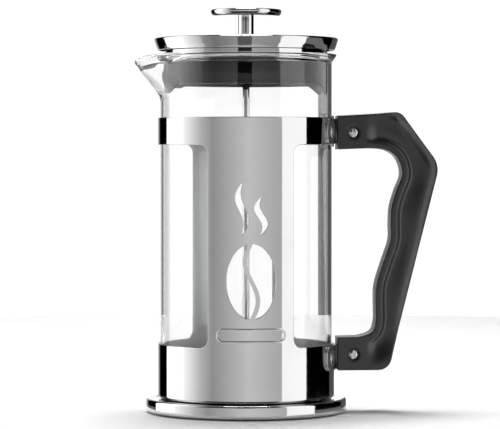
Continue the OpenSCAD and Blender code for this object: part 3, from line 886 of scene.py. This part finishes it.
def make_lid():
    """Pressed cap, steel collar, and the plastic insert with its two lobes."""
    outer = rounded([(48.9, CAP_Z, 0.2), (CAP_FOOT_R, CAP_Z, 0.3), (50.4, 204.4, 8),
                     (CAP_R, CAP_TOP - 0.2, 0.9), (30, CAP_TOP - 0.05, 30), (7.4, CAP_TOP, 0)],
                    closed=False, step=5)
    inner = rounded([(5.1, CAP_TOP, 0), (5.1, CAP_TOP - 0.8, 0), (50.6, CAP_TOP - 1.0, 0.5),
                     (48.9, CAP_Z, 0.1)], closed=False)
    Mesh().lathe(outer + inner[:-1], 256).piece("lid_shell", "lid", "polished_steel", POLISHED, ["lid_cap"])
    ring = rounded([(SKIRT_R, COLLAR_Z, 0.3), (SKIRT_R, CAP_Z - 0.1, 0), (SKIRT_R - SHEET_T, CAP_Z - 0.1, 0),
                    (SKIRT_R - SHEET_T, COLLAR_Z, 0.3)])
    Mesh().lathe(ring, 256).piece("lid_ring", "lid", "polished_steel", POLISHED, ["lid_collar"])
    make_insert()


def make_insert():
    """Plastic insert of the lid: skirt with two lower lobes, fine bead, hub and ribs."""
    arc = SKIRT_R * math.pi
    low_half, high_half = 12.9, 25.1
    strips = 180
    cuts = [arc * (2 * i / strips - 1) for i in range(strips + 1)]
    edge = 0.4
    bottom = [(-arc, SKIRT_Z, 0)]
    for middle in (-arc / 2, arc / 2):
        bottom += [(middle - high_half, SKIRT_Z, 1.2), (middle - low_half, LOBE_Z, 2.0),
                   (middle + low_half, LOBE_Z, 2.0), (middle + high_half, SKIRT_Z, 1.2)]
    bottom += [(arc, SKIRT_Z, 0)]
    line = offset(rounded(bottom, closed=False), edge, closed=False)
    line[0] = (-arc, SKIRT_Z + edge)
    line[-1] = (arc, SKIRT_Z + edge)
    top = COLLAR_Z
    domain = line + [(arc, top), (-arc, top)]
    insert = Mesh()
    insert.plate([], on_cylinder(SKIRT_R), 2.0, edge, cuts[1:-1], [line, [(arc, top), (-arc, top)]], domain)
    bead = rounded([(SKIRT_R - 0.1, 184.0, 0), (SKIRT_R + 0.12, 184.0, 0.1), (SKIRT_R + 0.12, 184.5, 0.1),
                    (SKIRT_R - 0.1, 184.5, 0)])
    insert.lathe(bead, 180)
    hub = rounded([(5.1, 190.2, 0), (8, 190.2, 0.5), (8, LID_SEAT, 1.5), (43.5, LID_SEAT, 0.5),
                   (43.5, COLLAR_Z - 1, 0), (44.6, COLLAR_Z - 1, 0), (44.6, CAP_Z - 0.1, 0),
                   (5.1, CAP_Z - 0.1, 0)])
    insert.lathe(hub, 180)
    for k in range(8):
        turn = Matrix.Rotation(TURN * (k + 0.5) / 8, 4, "Z")
        rib = [(8, 195.5), (43.2, 198.2), (43.2, LID_SEAT + 0.5), (8, LID_SEAT + 0.5)]
        insert.plate([rib], lambda u, v, depth: turn @ Vector((u, -0.8 + depth, v)), 1.6, 0.2)
    insert.piece("lid_insert_skirt", "lid", "lid_plastic", LID, ["lid_insert"])


def make_bush():
    """Flanged guide bush in the middle of the lid, with the nut that holds it."""
    profile = rounded([(2.05, 186.8, 0.2), (5, 186.8, 0.4), (5, CAP_TOP, 0), (7, CAP_TOP, 0.3),
                       (7, STEM_Z, 0.7), (2.05, STEM_Z, 0.3)])
    Mesh().lathe(profile, 96).piece("guide_bush", "lid_bush", "polished_steel", POLISHED, ["lid_bush"])
    nut = Mesh()
    knurls = 36
    count = knurls * 6
    section = rounded([(5.05, 186.8, 0.1), (8, 186.8, 0.5), (8, 189.8, 0.5), (5.05, 189.8, 0.1)])
    rows = []
    for i in range(count):
        turn = TURN * i / count
        cut = 0.16 * (1 - math.cos(knurls * turn))
        cut_section = [(r - (cut if r > 7.5 else 0), z) for r, z in section]
        rows.append([(r * math.cos(turn), r * math.sin(turn), z) for r, z in cut_section])
    nut.grid(rows, closed_rows=True, closed_columns=True)
    nut.piece("guide_nut", "lid_bush", "screw_steel", SCREW, ["bush_nut"])


# ---- Plunger ----

def make_knob():
    """Domed disc knob with a rounded-under edge, its stem and the rod."""
    nose = [(KNOB_R - 2 + 2 * math.sin(a), KNOB_Z + 3 - 3 * math.cos(a), 0)
            for a in np.linspace(0.1, math.pi / 2, 12)]
    dome = rounded([(KNOB_R - 2.1, KNOB_Z, 0), *nose, (KNOB_R - 0.4, KNOB_Z + 3.7, 0.6),
                    (KNOB_R * 0.8, KNOB_Z + 4.3, 8), (KNOB_R * 0.45, KNOB_TOP - 0.15, 20), (0, KNOB_TOP, 0)],
                   closed=False, step=4)
    profile = [(0, KNOB_Z), *dome]
    Mesh().lathe(profile, 192).piece("knob_disc", "plunger", "polished_steel", POLISHED, ["knob"])
    stem = rounded([(2.05, STEM_Z, 0.1), (STEM_R, STEM_Z, 0.4), (STEM_R, KNOB_Z, 0), (2.05, KNOB_Z, 0)])
    Mesh().lathe(stem, 96).piece("stem", "plunger", "polished_steel", POLISHED, ["knob_stem"])
    rod = rounded([(0, 15.3, 0), (ROD_R, 15.3, 0.5), (ROD_R, 224, 0.3), (0, 224, 0)])
    Mesh().lathe(rod, 48).piece("rod", "plunger", "polished_steel", POLISHED, ["plunger_rod"])


def make_spring():
    """Garter spring: a fine coil bent into a ring."""
    turns, steps = 330, 10
    coil_r, wire_r = 0.9, 0.25
    path = []
    for i in range(turns * steps):
        a = TURN * i / (turns * steps)
        b = TURN * i / steps
        r = SPRING_R + coil_r * math.cos(b)
        path.append((r * math.cos(a), r * math.sin(a), SPRING_Z + coil_r * math.sin(b)))
    spring = Mesh().tube(path, wire_r, 5, closed=True)
    spring.piece("garter_spring", "plunger", "filter_steel", FILTER, ["edge_spring"])


def make_screen():
    """Disc of woven steel with a turned-up rim and one pressed ripple."""
    upper = [(2.05, 19.5, 0), (38, 19.5, 0), (39, 19.75, 0.8), (40, 19.5, 0.8), (45.2, 19.5, 0.4),
             (45.4, 22.6, 0)]
    under = [(45.8, 22.6, 0), (45.8, 19.1, 0.6), (2.05, 19.1, 0)]
    profile = rounded(upper + under)
    Mesh().lathe(profile, 192).piece("screen_disc", "plunger", "mesh_steel", WEAVE, ["mesh_screen"])


def drilled(radius, low, rings):
    """Pressed plate with rings of round holes and softened edges."""
    loops = [circle(0, 0, radius, 144), circle(0, 0, 2.06, 32, clockwise=True)]
    for ring_r, count in rings:
        for k in range(count):
            a = TURN * k / count
            loops.append(circle(ring_r * math.cos(a), ring_r * math.sin(a), 2.6, 28, clockwise=True))
    return Mesh().plate(loops, lambda u, v, depth: (u, v, low + SHEET_T - depth), SHEET_T, 0.22, steps=3)


def make_filter():
    """Perforated plates above and below the screen, the hub on the rod and the nut under them."""
    plate = drilled(42.95, 20.27, ((33.5, 16), (21.5, 10)))
    plate.lathe(rounded([(2.06, 19.5, 0), (5, 19.5, 0.1), (5, 20.3, 0), (2.06, 20.3, 0)]), 48)
    plate.piece("filter_disc", "plunger", "filter_steel", FILTER, ["filter_plate"])
    cross = drilled(40.5, 18.3, ((32.4, 18), (20.25, 10)))
    cross.piece("cross_disc", "plunger", "filter_steel", FILTER, ["cross_plate"])
    collar = rounded([(2.06, 21.07, 0), (5, 21.07, 0.3), (5, 24.2, 0.3), (3.6, 25.4, 0.5), (3.6, 27.07, 0.4),
                      (2.06, 27.07, 0)])
    Mesh().lathe(collar, 64).piece("filter_hub", "plunger", "filter_steel", FILTER, ["filter_collar"])
    loops = [rounded([(x, y, 0.5) for x, y in circle(0, 0, 5, 6)]), circle(0, 0, 2.06, 32, clockwise=True)]
    Mesh().plate(loops, lambda u, v, depth: (u, v, 18.3 - depth), 3.3, 0.4).piece(
        "filter_nut", "plunger", "filter_steel", SCREW, ["hub_nut"])


# ---- Stage: floor, light and camera ----

CAMERA_TURN = -3.5
CAMERA_FAR = 1.51
CAMERA_HIGH = 0.145
CARD_LOW = -1.3
CARD_HIGH = 1.5
CARD_FAR = 1.15
FLOOR_R = 0.9
FLOOR_NEAR_R = 0.072
CEILING_GLOW = 0.15
SOFTBOX_R = 0.32
SOFTBOX_Z = 1.45
SOFTBOX_BACK = 0.24
SOFTBOX_GLOW = 20.5

# Lower end, upper end and share of the brightness of each row of the cards in front
FRONT_TIERS = ((CARD_LOW, -0.72, 0.8), (-0.72, -0.3, 0.6), (-0.3, 0.19, 1.0), (0.19, 0.255, 0.7),
               (0.255, 0.45, 0.35), (0.45, CARD_HIGH, 0.1))
# End of the name, brightness, lower end and upper end of each row of the dark cards at the sides
DARK_TIERS = (("", 0.0, -0.1, CARD_HIGH), ("_low", 0.18, -0.3, -0.1), ("_base", 0.02, CARD_LOW, -0.3))


def bearing(degrees, far=1.0):
    """A point at that turn from the camera's own direction, to its right, seen from above."""
    a = math.radians(CAMERA_TURN + degrees)
    return Vector((math.sin(a) * far, -math.cos(a) * far, 0))


def glow(name, first, second):
    """A plain emitting surface that goes evenly from one brightness to the other."""
    material = bpy.data.materials.new(name)
    material.use_nodes = True
    tree = material.node_tree
    tree.nodes.clear()
    out = tree.nodes.new("ShaderNodeOutputMaterial")
    uv = add_node(tree, "ShaderNodeTexCoord").outputs["UV"]
    across = add_node(tree, "ShaderNodeSeparateXYZ", {"Vector": uv}).outputs["X"]
    links = {"Value": across, "To Min": first, "To Max": second}
    strength = add_node(tree, "ShaderNodeMapRange", links).outputs["Result"]
    emission = add_node(tree, "ShaderNodeEmission", {"Strength": strength})
    tree.links.new(emission.outputs[0], out.inputs["Surface"])
    return material


def card(name, start, end, first, second, low=CARD_LOW, high=CARD_HIGH, far=CARD_FAR):
    """A curved studio card between two turns from the camera, with its brightness at each side."""
    steps = max(2, round(abs(end - start) / 3))
    verts = []
    faces = []
    for i in range(steps + 1):
        at = bearing(start + (end - start) * i / steps, far)
        verts += [(at.x, at.y, low), (at.x, at.y, high)]
        if i:
            k = 2 * i
            faces.append((k - 2, k, k + 1, k - 1))
    mesh = bpy.data.meshes.new(name)
    mesh.from_pydata(verts, [], faces)
    uv = mesh.uv_layers.new(name="UVMap")
    for loop in mesh.loops:
        column, row = divmod(loop.vertex_index, 2)
        uv.data[loop.index].uv = (column / steps, row)
    mesh.materials.append(glow(name, first, second))
    obj = bpy.data.objects.new(name, mesh)
    bpy.context.scene.collection.objects.link(obj)
    obj.visible_camera = False
    obj.visible_shadow = False
    return obj


def flat_disc(name, radius, height, material, count=96):
    mesh = bpy.data.meshes.new(name)
    ring = [(x, y, height) for x, y in circle(0, 0, radius, count)]
    mesh.from_pydata(ring, [], [tuple(range(count))])
    mesh.materials.append(material)
    obj = bpy.data.objects.new(name, mesh)
    bpy.context.scene.collection.objects.link(obj)
    return obj


def floor_look():
    look = Look("pale_floor", Roughness=0.9, Specular_IOR_Level=0.0)
    return look.done(Base_Color=look.blend(look.noise(3), (0.86, 0.86, 0.86), (0.88, 0.88, 0.88)))


def make_stage():
    """Pale floor, soft light from above and behind, and cards that the steel reflects.

    The wide floor is kept out of reflections, where a small disc under the foot takes its place. The dark
    cards are not seen through the glass, whose edges gather light from beside the press.
    """
    floor = floor_look()
    wide = flat_disc("floor_wide", FLOOR_R, -0.0004, floor)
    wide.visible_glossy = False
    near = flat_disc("floor_near", FLOOR_NEAR_R, -0.0001, floor)
    near.visible_camera = False
    near.visible_shadow = False
    near.visible_diffuse = False
    card("card_white_left", -124, -88, 1.6, 1.6)
    card("card_fade_left", -88, -60, 1.3, 0.6)
    card("card_white_right", 46.5, 83.5, 1.25, 1.3)
    for name, start, end in (("left", -150, -124), ("right", 83.5, 138)):
        for part, share, low, high in DARK_TIERS:
            black = card(f"card_black_{name}{part}", start, end, share, share, low, high)
            black.visible_transmission = False
    card("card_back_left", -172, -150, 1.05, 0.05)
    card("card_back", 172, 188, 1.05, 1.05)
    card("card_back_right", 138, 172, 0.08, 0.12)
    for k, (low, high, share) in enumerate(FRONT_TIERS):
        card(f"card_grey_left_{k}", -60, -43, 0.6 * share, 0.37 * share, low, high)
        card(f"card_front_left_{k}", -43, 3, 0.37 * share, 0.7 * share, low, high)
        card(f"card_front_right_{k}", 3, 46.5, 0.7 * share, 0.51 * share, low, high)
    card("card_block_high", -11, 8, 0.02, 0.02, 0.19, CARD_HIGH, 1.1)
    card("card_block_low", -11, 8, 0.12, 0.12, -0.72, -0.3, 1.1)
    ceiling = flat_disc("ceiling", CARD_FAR, CARD_HIGH, glow("ceiling", CEILING_GLOW, CEILING_GLOW))
    softbox = flat_disc("softbox", SOFTBOX_R, SOFTBOX_Z, glow("softbox", SOFTBOX_GLOW, SOFTBOX_GLOW))
    softbox.location = bearing(180, SOFTBOX_BACK)
    for obj in (ceiling, softbox):
        obj.visible_camera = False
    ceiling.visible_shadow = False
    world = bpy.data.worlds.new("studio")
    world.use_nodes = True
    world.node_tree.nodes["Background"].inputs["Color"].default_value = (1, 1, 1, 1)
    world.node_tree.nodes["Background"].inputs["Strength"].default_value = 1.05
    bpy.context.scene.world = world
    bpy.context.scene.view_settings.view_transform = "Standard"


def make_camera():
    data = bpy.data.cameras.new("camera")
    data.lens = 194
    data.sensor_width = 36
    data.clip_start = 0.05
    data.clip_end = 50
    camera = bpy.data.objects.new("camera", data)
    bpy.context.scene.collection.objects.link(camera)
    camera.location = bearing(0, CAMERA_FAR) + Vector((0, 0, CAMERA_HIGH))
    right = bearing(90)
    target = right * 0.00224 + Vector((0, 0, 0.1103))
    camera.rotation_mode = "QUATERNION"
    camera.rotation_quaternion = (target - camera.location).to_track_quat("-Z", "Y")
    bpy.context.scene.camera = camera


def dress_cad_nodes():
    """The CAD nodes that stay in sight get their procedural materials."""
    looks = {"beaker_pad": (RUBBER, "pad_rubber"), "handle_nuts": (SCREW, "screw_steel")}
    for node, (material, slot) in looks.items():
        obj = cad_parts[node]
        obj.data.materials.clear()
        obj.data.materials.append(material)


make_camera()
make_foot()
make_foot_insert()
make_sleeve()
make_raised_bar()
make_bracket("saddle_upper", "upper_bracket", UPPER_MID, SCREWS_Z[0], True)
make_bracket("saddle_lower", "lower_bracket", LOWER_MID, SCREWS_Z[1], False)
make_rivets()
make_handle()
make_screws()
make_beaker()
make_lid()
make_bush()
make_knob()
make_spring()
make_screen()
make_filter()
dress_cad_nodes()
make_stage()
